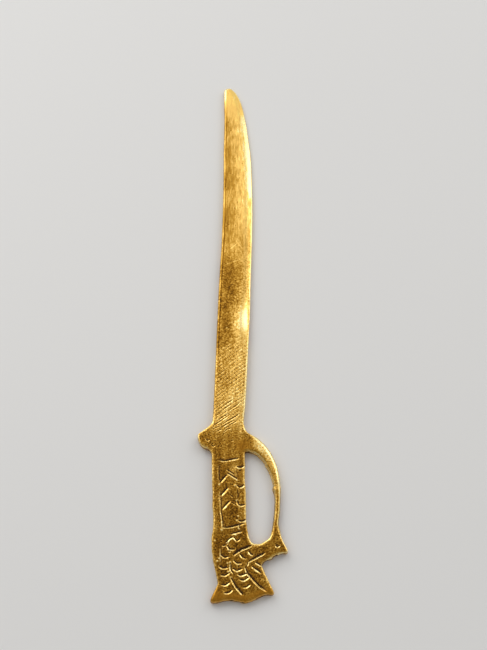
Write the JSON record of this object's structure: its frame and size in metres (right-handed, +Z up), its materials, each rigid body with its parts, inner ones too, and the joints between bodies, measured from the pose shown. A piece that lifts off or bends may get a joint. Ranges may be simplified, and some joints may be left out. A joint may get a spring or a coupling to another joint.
{
  "type": "letter opener",
  "caption": "Sabre-shaped cast brass letter opener: curved blade with a ground edge, lobed quillon, engraved grip, knuckle bow around a finger gap, and a beast-head pommel.",
  "frame": {"origin": "middle of the overall box, on the flat back that lies on the table", "axes": "+Y along the length towards the point, +X across towards the cutting edge and the knuckle bow, +Z up out of the engraved face"},
  "size_m": [0.0302, 0.2048, 0.003],
  "materials": {
    "brass": "aged cast brass: satin on the blade, grained on the hilt, darkened in the engraved lines and worn bright along the edges"
  },
  "bodies": {
    "root": {"blade": "brass", "guard": "brass", "grip": "brass", "knuckle_bow": "brass", "pommel": "brass"}
  },
  "joints": []
}
